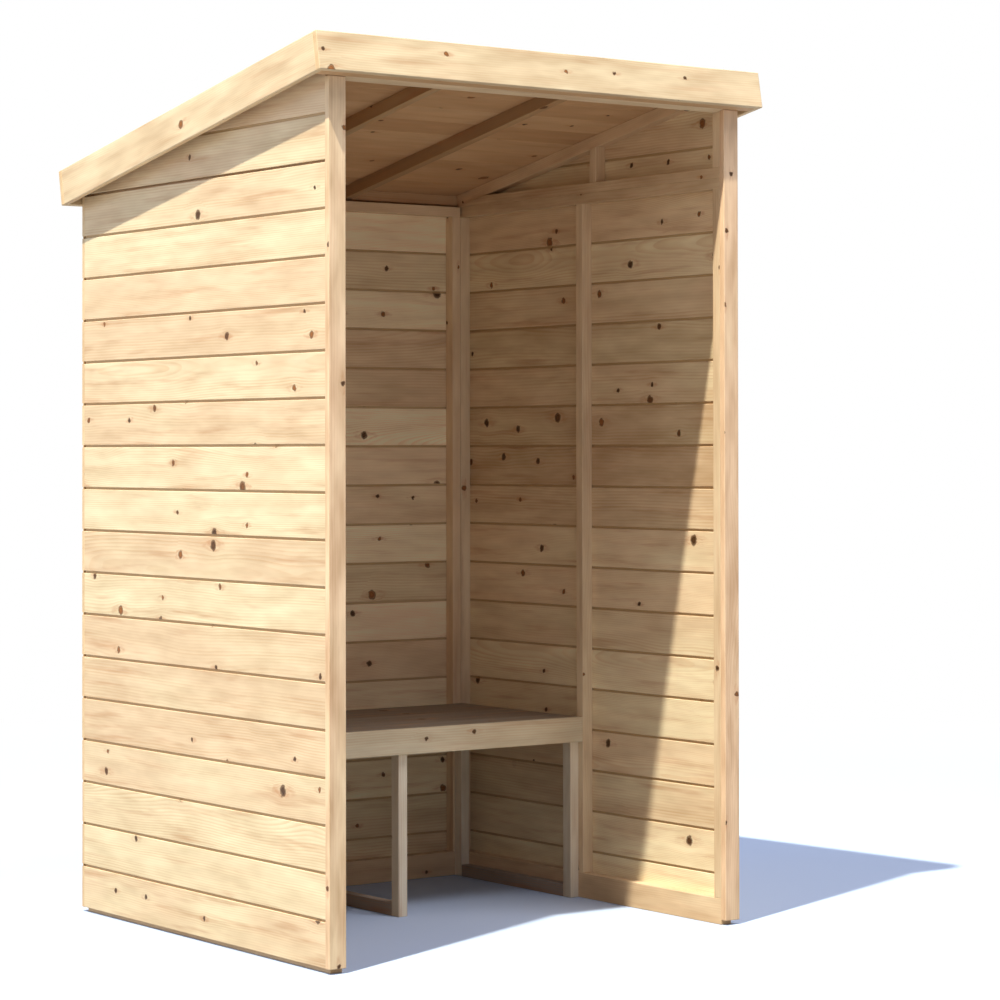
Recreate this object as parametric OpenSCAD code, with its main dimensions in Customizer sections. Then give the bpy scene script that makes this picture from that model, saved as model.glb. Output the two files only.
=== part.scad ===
// Open-fronted garden arbor with a bench and a pent roof.
// The front faces -Y, +X is to the right of someone looking in, and Z = 0 is the ground.

/* [Plan and height] */
// Width over the cladding of the two side walls
body_w = 1264; // [1000:2:1600]
// Depth of the side walls, without the cladding of the back wall
body_d = 1190; // [1000:2:1500]
// Height of the side and back wall panels, up to the joint under the gables
wall_h = 1940; // [1800:2:2100]

/* [Cladding and framing] */
// Thickness of the cladding boards
cladding_t = 12; // [9:1:18]
// Height of the lowest cladding edge above the ground
cladding_lift = 12; // [4:1:30]
// Narrow side of the studs, rafters and top rails
stud_w = 28; // [22:1:40]
// Wide side of the studs, rafters and top rails
stud_d = 34; // [28:1:45]
// Height of the boards on edge that the walls stand on
bottom_rail_h = 68; // [45:1:90]
// Clearance beside the back panel, between the side walls
panel_gap = 5; // [1:1:8]
// How far the cladding of a gable laps down over the joint under it
gable_lap = 24; // [5:1:28]
// Thickness of the front corner trims
trim_t = 18; // [10:1:24]
// How far a trim stands proud of the cladding beside it
trim_lap = 2; // [0.5:0.5:6]

/* [Studs inside the side walls] */
// Distance from the front of a side wall to its middle stud
middle_stud_y = 584; // [500:1:700]
// Distance from the front of a side wall to the stud in its gable
gable_stud_y = 522; // [400:1:640]

/* [Roof] */
// Fall of the roof from front to back, in degrees
roof_slope = 10.4; // [6:0.1:13]
// Thickness of the roof boards
deck_t = 14; // [9:1:20]
// Height of the fascia boards
fascia_h = 95; // [80:1:120]
// Thickness of the fascia boards
fascia_t = 16; // [12:1:22]
// Thickness of the board behind the front fascia
front_bearer_t = 25; // [18:1:40]
// How far the roof reaches past the cladding on each side
side_overhang = 53; // [30:1:90]
// Clearance between the rear fascia and the back wall
rear_gap = 3; // [1:1:15]
// Clearance over the back wall, under the board behind the rear fascia
eaves_gap = 5; // [1:1:12]

/* [Bench] */
// Height of the top of the seat
seat_h = 497; // [400:1:560]
// Thickness of the seat boards
seat_t = 15; // [12:1:22]
// Height of the rail along the front of the seat
bench_rail_h = 68; // [50:1:90]
// Thickness of the rail along the front of the seat
bench_rail_t = 20; // [15:1:28]

/* [Hidden] */

timber = "burlywood";
boards = "wheat";

slope_sin = sin(roof_slope);
slope_cos = cos(roof_slope);
slope_tan = tan(roof_slope);

// Across: the inner faces of the cladding and of the framing, and the side of the end rafters
clad_x = body_w / 2 - cladding_t;
frame_x = clad_x - stud_d;
end_rafter_x = clad_x - stud_w;

// Above the rafters, measured square to the roof from their underside
deck_n = stud_d;
top_n = deck_n + deck_t;
drop_n = top_n - fascia_h;

// Roof plane, measured from the outer top edge of the back wall, where the rafters rest.
// Along the slope the distance s is negative towards the front.
back_y = body_d + cladding_t;
rear_fascia_s = (rear_gap - drop_n * slope_sin) / slope_cos;
rear_bearer_s = rear_fascia_s - stud_w;
bearer_back_s = -(back_y + trim_t + drop_n * slope_sin) / slope_cos;
bearer_front_s = bearer_back_s - front_bearer_t;
front_fascia_s = bearer_front_s - fascia_t;
header_back_s = bearer_back_s + stud_d;
roof_end_s = rear_fascia_s + fascia_t;
roof_half_w = body_w / 2 + side_overhang;
deck_half_w = roof_half_w - fascia_t;

// The walls' front edge, placed so that the whole plan is centred on the origin
plan_min = back_y + front_fascia_s * slope_cos + drop_n * slope_sin;
plan_max = back_y + roof_end_s * slope_cos + top_n * slope_sin;
front_y = -(plan_min + plan_max) / 2;

// Heights
top_rail_z = wall_h - stud_w;
gable_clad_z = wall_h - gable_lap;
gable_stud_z = wall_h + stud_w;
trim_top_z = wall_h - bearer_back_s * slope_sin + drop_n * slope_cos;
bearer_z = seat_h - seat_t - stud_d;
bench_y = middle_stud_y + bench_rail_t;
back_frame_y = body_d - stud_d;
bench_d = back_frame_y - bench_y;

// Height of a plane n above the rafters' underside, at a distance y behind the walls' front edge
function roof_z(y, n) = wall_h + (back_y - y) * slope_tan + n / slope_cos;

// Everything below is placed from the walls' front edge
module from_front() { translate([0, front_y, 0]) children(); }

module box_between(low, high) { translate(low) cube(high - low); }

// The right-hand part as drawn, or its mirror image on the left
module on_side(side) { from_front() mirror([side < 0 ? 1 : 0, 0, 0]) children(); }

// An outline in Y and Z, thickened from x_low to x_high
module side_profile(points, x_low, x_high) {
    translate([x_low, 0, 0]) rotate([90, 0, 90]) linear_extrude(x_high - x_low) polygon(points);
}

// A box in the roof's own directions: across, along the slope and square to it
module roof_box(low, high) {
    from_front() translate([0, back_y, wall_h]) rotate([-roof_slope, 0, 0]) box_between(low, high);
}

module wall_stud(side, y) {
    color(timber) on_side(side)
        box_between([frame_x, y, bottom_rail_h], [clad_x, y + stud_w, top_rail_z]);
}

module wall_bottom_rail(side) {
    color(timber) on_side(side)
        box_between([frame_x, 0, 0], [clad_x, body_d, bottom_rail_h]);
}

module wall_top_rail(side) {
    color(timber) on_side(side)
        box_between([frame_x, 0, top_rail_z], [clad_x, body_d, wall_h]);
}

module wall_cladding(side) {
    color(boards) on_side(side)
        box_between([clad_x, 0, cladding_lift], [body_w / 2, body_d, gable_clad_z]);
}

// The rail is bevelled at the rear, where it runs out under the end rafter
module gable_bottom_rail(side) {
    bevel_y = back_y - stud_w / slope_tan;
    color(timber) on_side(side)
        side_profile([[0, wall_h], [body_d, wall_h], [body_d, roof_z(body_d, 0)],
                      [bevel_y, gable_stud_z], [0, gable_stud_z]], frame_x, clad_x);
}

module gable_studs(side) {
    color(timber) on_side(side)
        for (y = [0, gable_stud_y])
            side_profile([[y, gable_stud_z], [y + stud_w, gable_stud_z],
                          [y + stud_w, roof_z(y + stud_w, 0)], [y, roof_z(y, 0)]],
                         frame_x, clad_x);
}

module gable_cladding(side) {
    color(boards) on_side(side)
        side_profile([[0, gable_clad_z], [body_d, gable_clad_z],
                      [body_d, roof_z(body_d, deck_n)], [0, roof_z(0, deck_n)]],
                     clad_x, body_w / 2);
}

module front_trim(side) {
    color(timber) on_side(side)
        box_between([frame_x, -trim_t, cladding_lift],
                    [body_w / 2 + trim_lap, 0, trim_top_z]);
}

// Framing of the back wall, which stands between the side walls
module back_frame_box(x_low, x_high, z_low, z_high) {
    color(timber) from_front()
        box_between([x_low, back_frame_y, z_low], [x_high, body_d, z_high]);
}

module back_wall_bottom_rail() {
    back_frame_box(-frame_x + panel_gap, frame_x - panel_gap, 0, bottom_rail_h);
}

module back_wall_top_rail() {
    back_frame_box(-frame_x + panel_gap, frame_x - panel_gap, top_rail_z, wall_h);
}

module back_wall_studs() {
    last_x = frame_x - panel_gap - stud_w;
    for (x = [-frame_x + panel_gap, -stud_w / 2, last_x])
        back_frame_box(x, x + stud_w, bottom_rail_h, top_rail_z);
}

module back_wall_cladding() {
    color(boards) from_front()
        box_between([-body_w / 2, body_d, cladding_lift], [body_w / 2, back_y, wall_h]);
}

module end_rafter(side) {
    x = side < 0 ? -clad_x : end_rafter_x;
    color(timber) roof_box([x, bearer_back_s, 0], [x + stud_w, rear_bearer_s, deck_n]);
}

// The middle rafters divide the roof into equal bays
module middle_rafter(side) {
    x = side * end_rafter_x / 3 - stud_w / 2;
    color(timber) roof_box([x, header_back_s, 0], [x + stud_w, rear_bearer_s, deck_n]);
}

module roof_front_bearer() {
    color(timber)
        roof_box([-deck_half_w, bearer_front_s, drop_n], [deck_half_w, bearer_back_s, deck_n]);
}

module roof_front_header() {
    color(timber)
        roof_box([-frame_x, bearer_back_s, drop_n], [frame_x, header_back_s, deck_n]);
}

module roof_rear_bearer() {
    color(timber)
        roof_box([-clad_x, rear_bearer_s, eaves_gap], [clad_x, rear_fascia_s, deck_n]);
}

module roof_boards() {
    color(boards)
        roof_box([-deck_half_w, bearer_front_s, deck_n], [deck_half_w, rear_fascia_s, top_n]);
}

module cross_fascia(s) {
    color(boards)
        roof_box([-roof_half_w, s, drop_n], [roof_half_w, s + fascia_t, top_n]);
}

module side_fascia(side) {
    x = side < 0 ? -roof_half_w : deck_half_w;
    color(boards)
        roof_box([x, bearer_front_s, drop_n], [x + fascia_t, rear_fascia_s, top_n]);
}

// The three frames under the seat: one against each side wall and one in the middle
module bench_frames() {
    color(timber) from_front()
        for (x = [-frame_x, -stud_w / 2, frame_x - stud_w])
            translate([x, bench_y, 0]) children();
}

module bench_front_legs() {
    bench_frames() cube([stud_w, stud_d, bearer_z]);
}

module bench_rear_legs() {
    bench_frames() translate([0, bench_d - stud_d, 0]) cube([stud_w, stud_d, bearer_z]);
}

module bench_ground_rails() {
    bench_frames() translate([0, stud_d, 0]) cube([stud_w, bench_d - 2 * stud_d, stud_d]);
}

module bench_bearers() {
    bench_frames() translate([0, 0, bearer_z]) cube([stud_w, bench_d, stud_d]);
}

module bench_seat() {
    color(boards) from_front()
        box_between([-frame_x, bench_y, seat_h - seat_t], [frame_x, back_frame_y, seat_h]);
}

module bench_front_rail() {
    color(timber) from_front()
        box_between([-frame_x, middle_stud_y, seat_h - bench_rail_h],
                    [frame_x, bench_y, seat_h]);
}

wall_bottom_rail(-1);  // left_wall_bottom_rail
wall_bottom_rail(1);  // right_wall_bottom_rail
wall_stud(-1, 0);  // left_wall_front_stud
wall_stud(1, 0);  // right_wall_front_stud
wall_stud(-1, middle_stud_y);  // left_wall_middle_stud
wall_stud(1, middle_stud_y);  // right_wall_middle_stud
wall_stud(-1, body_d - stud_w);  // left_wall_rear_stud
wall_stud(1, body_d - stud_w);  // right_wall_rear_stud
wall_top_rail(-1);  // left_wall_top_rail
wall_top_rail(1);  // right_wall_top_rail
wall_cladding(-1);  // left_wall_cladding
wall_cladding(1);  // right_wall_cladding
gable_bottom_rail(-1);  // left_gable_bottom_rail
gable_bottom_rail(1);  // right_gable_bottom_rail
gable_studs(-1);  // left_gable_studs
gable_studs(1);  // right_gable_studs
gable_cladding(-1);  // left_gable_cladding
gable_cladding(1);  // right_gable_cladding
front_trim(-1);  // left_front_trim
front_trim(1);  // right_front_trim
back_wall_bottom_rail();
back_wall_studs();
back_wall_top_rail();
back_wall_cladding();
end_rafter(-1);  // left_end_rafter
middle_rafter(-1);  // left_middle_rafter
middle_rafter(1);  // right_middle_rafter
end_rafter(1);  // right_end_rafter
roof_front_bearer();
roof_front_header();
roof_rear_bearer();
roof_boards();
cross_fascia(front_fascia_s);  // front_fascia
cross_fascia(rear_fascia_s);  // rear_fascia
side_fascia(-1);  // left_fascia
side_fascia(1);  // right_fascia
bench_front_rail();
bench_seat();
bench_bearers();
bench_front_legs();
bench_rear_legs();
bench_ground_rails();
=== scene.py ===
"""Looks for the garden arbor: separate boards, framing with eased edges, knotty wood, lights and camera."""

import math
import random

import bmesh
import bpy
from mathutils import Matrix, Vector


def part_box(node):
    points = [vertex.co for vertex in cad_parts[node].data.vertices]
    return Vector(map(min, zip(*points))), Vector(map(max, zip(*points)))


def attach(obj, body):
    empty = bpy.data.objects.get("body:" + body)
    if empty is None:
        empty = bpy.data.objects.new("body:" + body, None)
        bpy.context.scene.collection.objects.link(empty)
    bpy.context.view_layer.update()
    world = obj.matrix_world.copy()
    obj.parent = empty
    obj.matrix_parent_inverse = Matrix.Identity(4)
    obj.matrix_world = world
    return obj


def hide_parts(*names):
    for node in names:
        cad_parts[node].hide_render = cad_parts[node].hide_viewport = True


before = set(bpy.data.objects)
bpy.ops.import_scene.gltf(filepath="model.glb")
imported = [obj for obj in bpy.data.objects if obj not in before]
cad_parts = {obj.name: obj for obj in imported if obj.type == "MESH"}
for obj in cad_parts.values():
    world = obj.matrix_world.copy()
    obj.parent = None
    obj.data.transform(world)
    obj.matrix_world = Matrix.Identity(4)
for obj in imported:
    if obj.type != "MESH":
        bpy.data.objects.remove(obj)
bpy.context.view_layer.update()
rng = random.Random(11)

X, Y, Z = 0, 1, 2
BOARD = 0.112  # height that one cladding board covers
ROOF_SLOPE = math.radians(10.4)
LEVEL = Matrix.Identity(4)

# The roof's own directions: X across, Y along the slope to the rear, Z square to it.
wall_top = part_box("back_wall_cladding")[1]
ROOF = Matrix.Translation((0, wall_top.y, wall_top.z)) @ Matrix.Rotation(-ROOF_SLOPE, 4, "X")


# ---------------------------------------------------------------- node trees


class Tree:
    """Writes a node tree as expressions: add makes a node, and the others return output sockets."""

    def __init__(self, tree):
        self.tree = tree
        tree.nodes.clear()

    def add(self, kind, inputs=(), **settings):
        node = self.tree.nodes.new(kind)
        for name, value in settings.items():
            setattr(node, name, value)
        for name, value in dict(inputs).items():
            self.put(node.inputs[name], value)
        return node

    def put(self, socket, value):
        if isinstance(value, bpy.types.NodeSocket):
            self.tree.links.new(value, socket)
        else:
            socket.default_value = value

    def math(self, operation, *values):
        node = self.add("ShaderNodeMath", enumerate(values), operation=operation)
        return node.outputs[0]

    def mul(self, a, b):
        return self.math("MULTIPLY", a, b)

    def plus(self, a, b):
        return self.math("ADD", a, b)

    def minus(self, a, b):
        return self.math("SUBTRACT", a, b)

    def span(self, value, low, high, to_low=0.0, to_high=1.0, smooth=True):
        """value from low..high to to_low..to_high, held at both ends."""
        inputs = {"Value": value, "From Min": low, "From Max": high, "To Min": to_low, "To Max": to_high}
        kind = "SMOOTHSTEP" if smooth else "LINEAR"
        return self.add("ShaderNodeMapRange", inputs, interpolation_type=kind).outputs[0]

    def vector(self, x, y, z=0.0):
        return self.add("ShaderNodeCombineXYZ", {"X": x, "Y": y, "Z": z}).outputs[0]

    def parts(self, vector):
        return self.add("ShaderNodeSeparateXYZ", {0: vector}).outputs[:]

    def attribute(self, name):
        return self.add("ShaderNodeAttribute", attribute_name=name).outputs["Vector"]

    def noise(self, vector, scale=1.0, detail=2.0, roughness=0.5):
        inputs = {"Vector": vector, "Scale": scale, "Detail": detail, "Roughness": roughness}
        return self.add("ShaderNodeTexNoise", inputs).outputs[0]

    def mix(self, factor, a, b, blend="MIX"):
        node = self.add("ShaderNodeMix", {0: factor}, data_type="RGBA", blend_type=blend, clamp_factor=True)
        self.put(node.inputs[6], a)
        self.put(node.inputs[7], b)
        return node.outputs[2]


def rgb(red, green, blue):
    """An sRGB colour from 0 to 255, as the linear colour a socket takes."""

    def linear(c):
        c /= 255
        return c / 12.92 if c <= 0.04045 else ((c + 0.055) / 1.055) ** 2.4

    return (linear(red), linear(green), linear(blue), 1.0)


# ---------------------------------------------------------------- wood

LATEWOOD = rgb(205, 150, 92)
STREAK = rgb(196, 142, 100)
KNOT_HALO = rgb(190, 122, 78)
KNOT_LIVE = rgb(156, 98, 50)
KNOT_DEAD = rgb(84, 54, 28)
# The colour of the board joints: partly dirt, partly painted shade in the grooves.
GROOVE_DIRT_AND_SHADE = rgb(192, 157, 113)
END_GRAIN = rgb(226, 194, 152)


def wood(name, pale, warm, contrast=1.0, blotch=1.0, knots=0.5, knot_size=1.0, fuzz=1.0, spread=1.0):
    """Planed softwood. It reads three corner attributes that every piece carries:
    grain (metres along, across and into the timber, shifted for each board), board (three random numbers)
    and face (1 on an eased edge, 1 in a groove, 1 on an end).
    contrast is the strength of rings and streaks, blotch that of cloudy patches and fuzz that of fibres;
    knots is the share of cells that hold one, and spread how far the boards differ in tone."""
    material = bpy.data.materials.new(name)
    material.use_nodes = True
    t = Tree(material.node_tree)
    along, across, depth = t.parts(t.attribute("grain"))
    tone, hue, figure = t.parts(t.attribute("board"))
    edge, groove, end = t.parts(t.attribute("face"))

    # Knots: some cells of a grid hold one each, with its own radius and colour. Sizes are in metres.
    cell_u, cell_v = 0.17, 0.125
    smallest, largest = 0.0054, 0.0132
    rough_outline = t.noise(t.vector(along, across, depth), 90, 2)
    shift = t.span(rough_outline, 0.25, 0.75, -0.0026, 0.0026, smooth=False)
    cell_space = t.vector(
        t.mul(t.plus(along, shift), 1 / cell_u),
        t.mul(t.minus(across, shift), 1 / cell_v),
    )
    cells = t.add(
        "ShaderNodeTexVoronoi",
        {"Vector": cell_space, "Scale": 1.0, "Randomness": 0.95},
        voronoi_dimensions="2D",
    )
    from_knot = {0: cell_space, 1: cells.outputs["Position"]}
    offset = t.add("ShaderNodeVectorMath", from_knot, operation="SUBTRACT")
    off_u, off_v, _ = t.parts(offset.outputs[0])
    du, dv = t.mul(off_u, cell_u), t.mul(off_v, cell_v)
    chance, size, shade = t.parts(cells.outputs["Color"])
    present = t.mul(t.span(chance, 1 - knots, 1 - knots + 0.01), t.minus(1.0, end))
    radius = t.mul(t.span(t.mul(size, size), 0.0, 1.0, smallest, largest, smooth=False), knot_size)
    du2, dv2 = t.mul(du, du), t.mul(dv, dv)
    radius2 = t.mul(radius, radius)
    distance = t.math("DIVIDE", t.math("SQRT", t.plus(t.mul(du2, 1.15), dv2)), radius)
    core = t.mul(t.span(distance, 1.2, 0.65), present)
    rim = t.mul(t.mul(t.span(distance, 1.3, 1.0), t.span(distance, 0.7, 0.95)), present)
    reach2 = t.plus(t.mul(du2, 0.12), t.mul(dv2, 1.4))
    halo = t.mul(t.span(t.math("DIVIDE", reach2, radius2), 3.6, 0.4), present)

    # Grain runs round each knot as water runs round a post.
    bend2 = t.plus(t.mul(du2, 0.4), dv2)
    flow = t.math("DIVIDE", t.mul(radius2, 1.15), t.plus(bend2, t.mul(radius2, 0.25)))
    flow = t.mul(flow, t.span(t.math("DIVIDE", bend2, radius2), 60.0, 4.0))
    flowing = t.minus(across, t.mul(t.mul(dv, flow), present))

    # Growth rings: a flat-sawn face cuts the rings of a log whose heart wanders nearer and further.
    wander = t.noise(t.vector(t.mul(along, 1.15), t.mul(across, 1.3), depth), 1.0, 1.5)
    height = t.span(wander, 0.25, 0.75, 0.006, 0.085, smooth=False)
    heart = t.span(figure, 0.0, 1.0, -0.07, 0.07, smooth=False)
    from_heart = t.plus(t.math("WRAP", flowing, 0.5, -0.5), heart)
    ring_radius = t.math("SQRT", t.plus(t.mul(from_heart, from_heart), t.mul(height, height)))
    wobble = t.noise(t.vector(t.mul(along, 5.0), t.mul(flowing, 24.0), depth), 1.0, 2.0)
    density = t.span(tone, 0.0, 1.0, 120.0, 230.0, smooth=False)
    rings = t.plus(t.mul(ring_radius, density), t.mul(wobble, 0.9))
    end_rings = t.math("SQRT", t.plus(t.mul(along, along), t.mul(across, across)))
    rings = t.plus(t.mul(rings, t.minus(1.0, end)), t.mul(t.mul(end_rings, 260.0), end))
    phase = t.math("FRACT", rings)
    late = t.mul(t.span(phase, 0.25, 0.86), t.span(phase, 1.0, 0.9))
    strength = t.noise(t.vector(t.mul(rings, 0.31), t.mul(along, 0.8), depth), 1.0, 1.0)
    late = t.mul(late, t.span(strength, 0.3, 0.7, 0.25, 1.0))

    # Fibres, streaks and broad patches
    fibre = t.noise(t.vector(t.mul(along, 16.0), t.mul(flowing, 620.0), t.mul(depth, 300.0)), 1.0, 3.0, 0.6)
    streak = t.noise(t.vector(t.mul(along, 3.2), t.mul(flowing, 42.0), depth), 1.0, 3.0, 0.55)
    patch = t.noise(t.vector(t.mul(along, 2.6), t.mul(across, 9.0), depth), 1.0, 2.0)
    mottle = t.noise(t.vector(t.mul(along, 6.0), t.mul(flowing, 26.0), t.plus(depth, 7.0)), 1.0, 2.0)

    # Colour: the timber's own, then its tone, its knots, its ends and its edges
    colour = t.mix(t.span(t.plus(patch, t.mul(hue, 0.5)), 0.45, 1.0), pale, warm)
    colour = t.mix(t.mul(late, 0.34 * contrast), colour, LATEWOOD)
    colour = t.mix(t.mul(t.span(streak, 0.52, 0.8), 0.55 * contrast), colour, STREAK)
    lightness = t.plus(t.mul(t.minus(tone, 0.5), 0.12 * spread), t.mul(t.minus(fibre, 0.5), 0.12 * fuzz))
    lightness = t.plus(t.plus(lightness, t.mul(t.minus(mottle, 0.5), 0.36 * blotch)), 0.97)
    darker = t.minus(lightness, 1.0)  # darker wood is redder
    shade_of = t.vector(t.plus(t.mul(darker, 0.8), 1.0), lightness, t.plus(t.mul(darker, 1.2), 1.0))
    colour = t.mix(1.0, colour, shade_of, "MULTIPLY")
    smudge = t.span(t.noise(t.vector(t.mul(along, 30.0), t.mul(across, 100.0), depth), 1.0, 2.0), 0.3, 0.7)
    colour = t.mix(t.mul(t.mul(halo, smudge), 0.45), colour, KNOT_HALO)
    knot_rings = t.span(t.math("SINE", t.mul(distance, 9.0)), -1.0, 1.0, 0.75, 1.1, smooth=False)
    knot = t.mix(t.span(shade, 0.35, 0.75), KNOT_DEAD, KNOT_LIVE)
    knot = t.mix(1.0, knot, t.vector(knot_rings, knot_rings, knot_rings), "MULTIPLY")
    colour = t.mix(core, colour, knot)
    colour = t.mix(t.mul(rim, 0.75), colour, KNOT_DEAD)
    colour = t.mix(t.mul(end, 0.7), colour, END_GRAIN)
    colour = t.mix(t.mul(t.mul(end, late), 0.4), colour, LATEWOOD)
    worn = t.mul(edge, t.span(t.noise(t.vector(t.mul(along, 30.0), across, depth), 1.0, 2.0), 0.4, 0.62))
    colour = t.mix(t.mul(worn, 0.35), colour, pale)
    # Joints and grooves take a darker colour: partly dirt, partly painted shade.
    colour = t.mix(t.mul(groove, 0.8), colour, GROOVE_DIRT_AND_SHADE)

    # Gloss and relief
    roughness = t.plus(t.span(fibre, 0.3, 0.7, 0.56, 0.70), t.mul(core, -0.05))
    relief = t.plus(t.mul(late, 0.35), t.mul(fibre, 0.45 * fuzz))
    relief = t.plus(relief, t.mul(core, 0.5))
    relief = t.minus(relief, t.mul(rim, 0.6))
    bump = t.add("ShaderNodeBump", {"Strength": 0.35, "Distance": 0.0008, "Height": relief})
    shader = t.add(
        "ShaderNodeBsdfPrincipled",
        {"Base Color": colour, "Roughness": roughness, "Normal": bump.outputs[0], "Specular IOR Level": 0.32},
    )
    t.add("ShaderNodeOutputMaterial", {"Surface": shader.outputs[0]})
    return material


MATERIALS = {
    "cladding": wood(
        "cladding_pine", rgb(244, 226, 190), rgb(236, 209, 175), blotch=1.6, knots=0.42, spread=0.65),
    "roof_boards": wood("roof_pine", rgb(222, 184, 143), rgb(206, 164, 123), knots=0.42),
    # Darker pine for the middle rafters: painted shade on their sides under the roof.
    "roof_framing": wood(
        "roof_framing_pine_painted_shade", rgb(186, 154, 117), rgb(168, 134, 99), contrast=1.2, knots=0.3),
    "framing": wood(
        "framing_pine", rgb(240, 217, 184), rgb(230, 199, 164), contrast=0.7, blotch=1.6, knots=0.3,
        knot_size=0.75, fuzz=1.4),
    "trim": wood(
        "trim_pine", rgb(249, 223, 186), rgb(243, 207, 173), contrast=0.65, blotch=2.8, knots=0.5,
        spread=0.5),
    # The fascia's wide spread lets the fixed tones below make the side fascias lighter than the front and
    # rear: painted light.
    "fascia": wood(
        "fascia_pine", rgb(232, 212, 178), rgb(226, 202, 168), contrast=0.75, blotch=2.3, knots=0.8,
        knot_size=0.8, spread=2.2),
    # The seat's pine is darker and greyer than the bench's other timber: painted shade under the roof.
    "seat": wood("seat_pine_painted_shade", rgb(134, 125, 115), rgb(119, 108, 100), knots=0.4),
    "bench_rail": wood(
        "bench_rail_pine", rgb(232, 224, 199), rgb(226, 211, 183), contrast=0.8, blotch=1.6, knots=0.9),
    # The bench frame's pine is paler and cooler than the framing's: painted light from the sky and floor.
    "bench_frame": wood(
        "bench_frame_pine_painted_light", rgb(248, 238, 221), rgb(242, 228, 206), contrast=0.8, blotch=1.5, knots=0.3,
        knot_size=0.75),
    # The bench's ground rails are darker and greyer than its frame: painted shade under the bench.
    "ground_timber": wood(
        "ground_rail_pine_painted_shade", rgb(184, 172, 166), rgb(172, 158, 150), knots=0.3, knot_size=0.75),
}


# ---------------------------------------------------------------- pieces

PLAIN, EASED, IN_GROOVE = 0, 1, 2  # what a face is, in the mark layer
WELD = 1e-5  # corners nearer than this are one
FLAT = 0.002  # faces that turn less than this, in radians, are one
SUNK = 0.0004  # how far a board may lie behind its neighbours
SLIVER = 0.004  # a board narrower than this isn't made
TONGUE = 0.004  # thickness of a board's tongue
SEAT_BOARDS = 5


def cad_mesh(node, place):
    """A node's solids as one welded bmesh of whole flat faces, in the directions of place."""
    bm = bmesh.new()
    bm.from_mesh(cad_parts[node].data)
    bm.transform(place.inverted())
    bmesh.ops.remove_doubles(bm, verts=bm.verts, dist=WELD)
    bmesh.ops.dissolve_limit(bm, angle_limit=FLAT, verts=bm.verts, edges=bm.edges)
    return bm


def extent(verts):
    """The low and the high corner of the box round some vertices."""
    corners = [v.co for v in verts]
    return [Vector(pick(c[i] for c in corners) for i in range(3)) for pick in (min, max)]


def islands(bm):
    """The faces of each separate solid, in one fixed order: low before high, front before rear,
    left before right."""
    left = set(bm.faces)
    solids = []
    for first in bm.faces:
        if first not in left:
            continue
        left.discard(first)
        found, edge_of = [], [first]
        while edge_of:
            face = edge_of.pop()
            found.append(face)
            for e in face.edges:
                for other in e.link_faces:
                    if other in left:
                        left.discard(other)
                        edge_of.append(other)
        low, _ = extent(v for f in found for v in f.verts)
        solids.append(([round(low[i], 4) for i in (Z, Y, X)], found))
    solids.sort(key=lambda solid: solid[0])
    return [found for _, found in solids]


class Board:
    """One length of timber: the way its grain runs, and what sets it apart from its neighbours.
    vary and lift spread and raise its random tone, and tone sets it outright; 0.5 is the plain tone."""

    def __init__(self, along, vary=1.0, tone=None, lift=0.0):
        self.along = along
        self.shift = Vector(rng.uniform(3, 40) for _ in range(3))
        self.looks = Vector(rng.random() for _ in range(3))
        self.looks.x = 0.5 + (self.looks.x - 0.5) * vary + lift if tone is None else tone
        self.centre = Vector((0, 0, 0))

    def describe(self, face, corner):
        """The grain attribute at a corner of one of its faces, and 1 if that face is an end."""
        normal = [abs(c) for c in face.normal]
        facing = normal.index(max(normal))
        if facing == self.along:
            a, b = (i for i in range(3) if i != self.along)
            # The log's heart is 30 mm and 20 mm outside the low corner of the end.
            from_heart = (corner[a] - self.centre[a] + 0.03, corner[b] - self.centre[b] + 0.02)
            return Vector((*from_heart, self.shift.z)), 1.0
        across = 3 - self.along - facing
        # Opposite and neighbouring faces show different stretches of the timber.
        side = 1.7 * facing + (0.9 if face.normal[facing] > 0 else 0.0)
        grain = Vector((corner[self.along] + side, corner[across], corner[facing])) + self.shift
        return grain, 0.0


def finish_piece(bm, name, node, slot, place, boards):
    """Turns bm into the piece that stands for a CAD node. A face's which layer gives its Board in boards,
    and its mark layer says whether it is plain, eased or in a groove."""
    grain_layer = bm.loops.layers.float_vector.new("grain")
    board_layer = bm.loops.layers.float_vector.new("board")
    face_layer = bm.loops.layers.float_vector.new("face")
    which = bm.faces.layers.int["which"]
    mark = bm.faces.layers.int["mark"]
    bmesh.ops.recalc_face_normals(bm, faces=bm.faces)
    for face in bm.faces:
        board = boards[face[which]]
        eased, in_groove = float(face[mark] == EASED), float(face[mark] == IN_GROOVE)
        for loop in face.loops:
            grain, end = board.describe(face, loop.vert.co)
            loop[grain_layer] = grain
            loop[board_layer] = board.looks
            loop[face_layer] = Vector((eased, in_groove, end))
    bm.transform(place)
    mesh = bpy.data.meshes.new(name)
    bm.to_mesh(mesh)
    bm.free()
    mesh.materials.append(MATERIALS[slot])
    piece = bpy.data.objects.new(name, mesh)
    bpy.context.scene.collection.objects.link(piece)
    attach(piece, "root")
    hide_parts(node)


def timber(node, slot="framing", place=LEVEL, ease=0.0015, tone=None):
    """Sawn and planed lengths with eased edges, one for each solid of the node."""
    bm = cad_mesh(node, place)
    which = bm.faces.layers.int.new("which")
    mark = bm.faces.layers.int.new("mark")
    boards = []
    for faces in islands(bm):
        low, high = extent(v for f in faces for v in f.verts)
        size = list(high - low)
        board = Board(size.index(max(size)), tone=tone)
        board.centre = low
        for face in faces:
            face[which] = len(boards)
        boards.append(board)
    made = bmesh.ops.bevel(bm, geom=list(bm.edges), offset=ease, segments=2, profile=0.5, affect="EDGES")
    for face in made["faces"]:
        face[mark] = EASED
    finish_piece(bm, node + "_timber", node, slot, place, boards)


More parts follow.
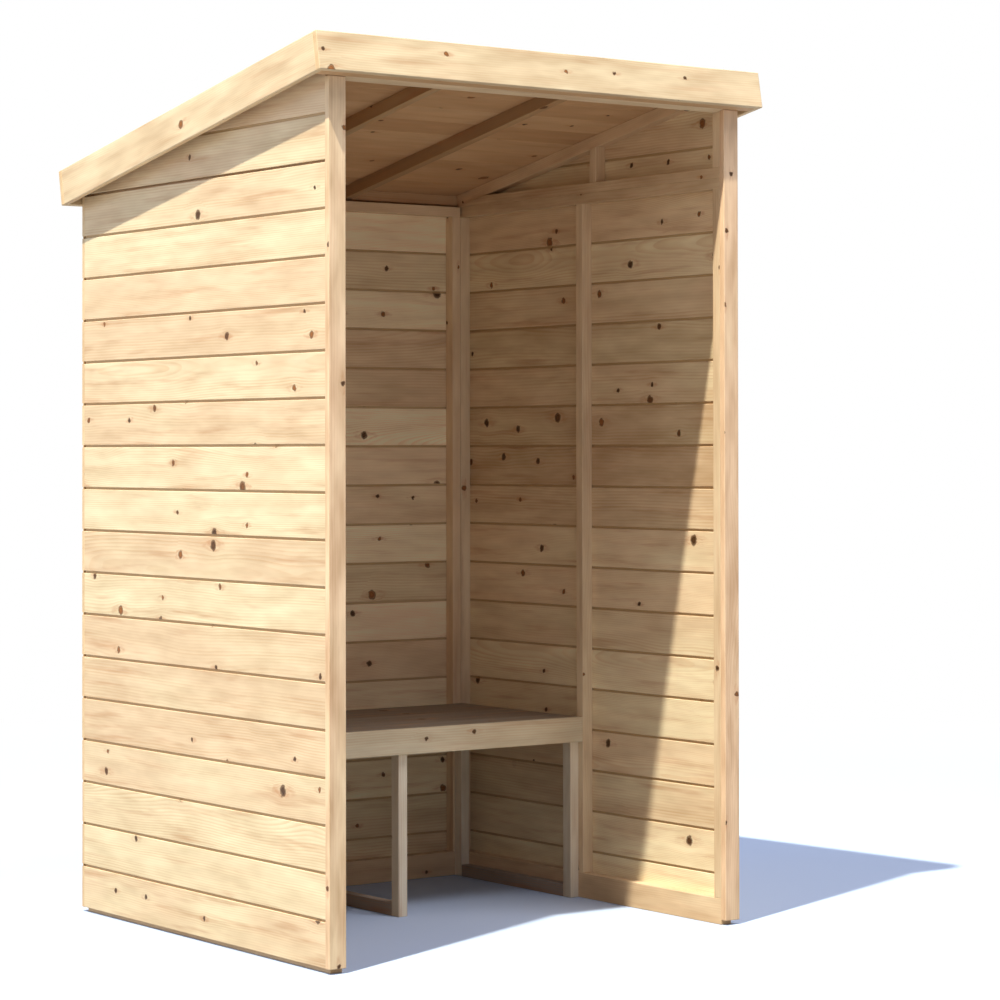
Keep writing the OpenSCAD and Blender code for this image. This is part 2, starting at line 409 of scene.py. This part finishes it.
def board_row(node, slot, along, across, place=LEVEL, pitch=BOARD, gap=0.0062, ease=0.0014, cut=None,
              joint_below=False, joint_above=False, vary=1.0, lift=0.0):
    """Tongued and grooved boards side by side that fill the box of a node, from its low edge up.
    cut is a plane (point, normal) in the directions of place: what lies beyond it is sawn off.
    joint_below and joint_above leave half a groove there, where another node's boards carry on."""
    through = 3 - along - across
    source = cad_mesh(node, place)
    low, high = extent(source.verts)
    source.free()
    bm = bmesh.new()
    which = bm.faces.layers.int.new("which")
    mark = bm.faces.layers.int.new("mark")
    boards = []
    start = low[across]
    while start < high[across] - SLIVER:
        stop = min(start + pitch, high[across])
        first, last = not boards, stop > high[across] - WELD
        board = Board(along, vary, lift=lift)
        sunk = rng.uniform(0.0, SUNK)
        a0 = start + (gap / 2 if joint_below or not first else 0)
        a1 = stop - (gap / 2 if joint_above or not last else 0)
        t0, t1 = low[through] + sunk, high[through] - rng.uniform(0.0, SUNK)
        middle = (low[through] + high[through]) / 2
        # The board's outline, across and through. Its tongue closes the joint to the next board.
        outline = [(a0, t1 - ease), (a0 + ease, t1), (a1 - ease, t1), (a1, t1 - ease)]
        marks = [EASED, PLAIN, EASED, IN_GROOVE]
        if not last:
            outline += [(a1, middle + TONGUE / 2), (a1 + gap, middle + TONGUE / 2),
                        (a1 + gap, middle - TONGUE / 2), (a1, middle - TONGUE / 2)]
            marks += [IN_GROOVE] * 4
        outline += [(a1, t0 + ease), (a1 - ease, t0), (a0 + ease, t0), (a0, t0 + ease)]
        marks += [EASED, PLAIN, EASED, IN_GROOVE]
        if first and not joint_below:
            marks[-1] = PLAIN
        ends = []
        for at in (low[along], high[along]):
            ring = []
            for a, t in outline:
                co = Vector((0, 0, 0))
                co[along], co[across], co[through] = at, a, t
                ring.append(bm.verts.new(co))
            ends.append(ring)
        count = len(outline)
        for ring in ends:
            face = bm.faces.new(ring)
            face[which] = len(boards)
        for i in range(count):
            j = (i + 1) % count
            face = bm.faces.new((ends[0][i], ends[0][j], ends[1][j], ends[1][i]))
            face[which] = len(boards)
            face[mark] = marks[i]
        board.centre = low.copy()
        board.centre[across] = start
        boards.append(board)
        start = stop
    if cut:
        point, normal = cut
        geometry = list(bm.verts) + list(bm.edges) + list(bm.faces)
        sawn = bmesh.ops.bisect_plane(bm, geom=geometry, plane_co=point, plane_no=normal, clear_outer=True)
        rims = [e for e in sawn["geom_cut"] if isinstance(e, bmesh.types.BMEdge)]
        of_edge = {e: e.link_faces[0][which] for e in rims if e.link_faces}
        filled = bmesh.ops.holes_fill(bm, edges=rims, sides=0)
        for face in filled["faces"]:
            face[which] = next((of_edge[e] for e in face.edges if e in of_edge), 0)
    finish_piece(bm, node + "_boards", node, slot, place, boards)


# Cladding: horizontal boards on every wall, the gables sawn off under the roof boards. The right and
# back walls are seen from inside, where the tones of the boards differ more.
roof_up = ROOF.to_3x3() @ Vector((0, 0, 1))
low_roof = cad_mesh("roof_boards", ROOF)
underside = ROOF @ Vector((0, 0, extent(low_roof.verts)[0].z))
low_roof.free()
# The right wall's and gable's boards are lowered in tone by lift: painted shade on the inside.
for side, vary, lift in (("left", 1.0, 0.0), ("right", 5.2, -0.8)):
    board_row(f"{side}_wall_cladding", "cladding", Y, Z, joint_above=True, vary=vary, lift=lift)
    board_row(f"{side}_gable_cladding", "cladding", Y, Z, cut=(underside, roof_up), joint_below=True,
              lift=lift)
# The back wall's boards are raised in tone by lift: painted light.
board_row("back_wall_cladding", "cladding", X, Z, vary=6.0, lift=1.4)
board_row("roof_boards", "roof_boards", X, Y, place=ROOF, gap=0.0008, ease=0.0006)
seat_low, seat_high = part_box("bench_seat")
seat_board = (seat_high.y - seat_low.y) / SEAT_BOARDS
board_row("bench_seat", "seat", X, Y, pitch=seat_board, gap=0.002, ease=0.0015)

# Framing, trims, fascias and the bench's frames
for side in ("left", "right"):
    timber(f"{side}_wall_bottom_rail")
    timber(f"{side}_wall_front_stud", tone=-0.2)
    for part in ("wall_middle_stud", "wall_rear_stud", "gable_studs"):
        timber(f"{side}_{part}")
    # The top rails and gable bottom rails, inside under the roof, get a darker tone: painted shade.
    for part in ("wall_top_rail", "gable_bottom_rail"):
        timber(f"{side}_{part}", tone=-1.4)
    timber(f"{side}_front_trim", "trim", ease=0.002)
    timber(f"{side}_end_rafter", place=ROOF)
    # The middle rafters are darker than the end rafters: painted shade.
    timber(f"{side}_middle_rafter", "roof_framing", place=ROOF)
    # The side fascias get a lighter tone than the front and rear ones: painted light on the sides.
    timber(f"{side}_fascia", "fascia", place=ROOF, ease=0.002, tone=0.7)
for end in ("front", "rear"):
    timber(f"{end}_fascia", "fascia", place=ROOF, ease=0.002, tone=0.42)
timber("roof_front_header", place=ROOF)
for end in ("front", "rear"):
    timber(f"roof_{end}_bearer", "roof_boards", place=ROOF)
for part in ("back_wall_bottom_rail", "back_wall_studs", "back_wall_top_rail"):
    timber(part)
timber("bench_front_rail", "bench_rail", ease=0.002)
for part in ("bench_bearers", "bench_front_legs", "bench_rear_legs"):
    timber(part, "bench_frame")
# The ground rails take a darker pine: painted shade under the bench.
timber("bench_ground_rails", "ground_timber")


# ---------------------------------------------------------------- floor, light and camera


def area_light(name, at, size, power, colour=(1, 1, 1)):
    """A square lamp that faces the middle of the object."""
    middle = Vector((0, 0, 1.0))
    data = bpy.data.lights.new(name, "AREA")
    data.size, data.energy, data.color = size, power, colour
    lamp = bpy.data.objects.new(name, data)
    lamp.location = at
    lamp.rotation_euler = (middle - Vector(at)).to_track_quat("-Z", "Y").to_euler()
    bpy.context.scene.collection.objects.link(lamp)


def floor(half=30.0):
    """A pale floor that keeps the object's shadow near it and fades to white further out. The light that
    it throws back on the object is that of a grey floor."""
    mesh = bpy.data.meshes.new("floor")
    bm = bmesh.new()
    corners = [(-half, -half), (half, -half), (half, half), (-half, half)]
    bm.faces.new([bm.verts.new((x, y, 0.0)) for x, y in corners])
    bm.to_mesh(mesh)
    bm.free()
    piece = bpy.data.objects.new("floor", mesh)
    bpy.context.scene.collection.objects.link(piece)
    material = bpy.data.materials.new("floor_pale")
    material.use_nodes = True
    t = Tree(material.node_tree)
    place = t.add("ShaderNodeTexCoord").outputs["Object"]
    away = t.add("ShaderNodeVectorMath", {0: place}, operation="LENGTH").outputs["Value"]
    seen = t.add("ShaderNodeLightPath").outputs
    pale = t.add("ShaderNodeBsdfDiffuse", {"Color": rgb(196, 212, 243)})
    bounce = t.add("ShaderNodeBsdfDiffuse", {"Color": rgb(144, 144, 144)})
    white = t.add("ShaderNodeEmission", {"Color": (1, 1, 1, 1), "Strength": 1.0})
    fade = t.add("ShaderNodeMixShader", {0: t.span(away, 2.2, 6.0), 1: pale.outputs[0], 2: white.outputs[0]})
    direct = t.math("MAXIMUM", seen["Is Camera Ray"], seen["Is Glossy Ray"])
    out = t.add("ShaderNodeMixShader", {0: direct, 1: bounce.outputs[0], 2: fade.outputs[0]})
    t.add("ShaderNodeOutputMaterial", {"Surface": out.outputs[0]})
    mesh.materials.append(material)


def white_world(strength):
    """White behind the object, and an even soft light of that strength on it."""
    world = bpy.data.worlds.new("studio")
    bpy.context.scene.world = world
    world.use_nodes = True
    t = Tree(world.node_tree)
    seen = t.add("ShaderNodeLightPath").outputs
    direct = t.math("MAXIMUM", t.math("MAXIMUM", seen["Is Camera Ray"], seen["Is Glossy Ray"]),
                    seen["Is Transmission Ray"])
    soft = t.add("ShaderNodeBackground", {"Color": rgb(228, 234, 255), "Strength": strength})
    white = t.add("ShaderNodeBackground", {"Color": (1, 1, 1, 1), "Strength": 1.0})
    out = t.add("ShaderNodeMixShader", {0: direct, 1: soft.outputs[0], 2: white.outputs[0]})
    t.add("ShaderNodeOutputWorld", {"Surface": out.outputs[0]})


def camera(at, turn, rise, roll, lens, shift_y):
    """A camera turned to the right of +Y by turn degrees, up by rise degrees and then rolled."""
    data = bpy.data.cameras.new("camera")
    data.lens, data.sensor_width, data.shift_y = lens, 36.0, shift_y
    piece = bpy.data.objects.new("camera", data)
    piece.location = at
    turned = Matrix.Rotation(math.radians(-turn), 4, "Z") @ Matrix.Rotation(math.radians(90 + rise), 4, "X")
    piece.matrix_world = Matrix.Translation(at) @ turned @ Matrix.Rotation(math.radians(roll), 4, "Z")
    bpy.context.scene.collection.objects.link(piece)
    bpy.context.scene.camera = piece


floor()
white_world(0.33)
area_light("key", (-12.5, -5.8, 26.8), 0.5, 13300, (1.0, 0.97, 0.82))
area_light("front", (1.5, -4.0, 9.0), 3.0, 320)
area_light("left", (-7.0, 3.0, 4.0), 3.0, 90, (0.5, 0.7, 1.0))
area_light("low", (-7.0, -2.5, 2.5), 3.0, 60, (1.0, 0.87, 0.67))
area_light("back", (9.0, 10.0, 2.0), 6.0, 1250)
camera((-4.4312, -6.4776, 1.2309), turn=36.197, rise=0.723, roll=-0.084, lens=106.859, shift_y=-0.08685)
bpy.context.scene.view_settings.view_transform = "Standard"
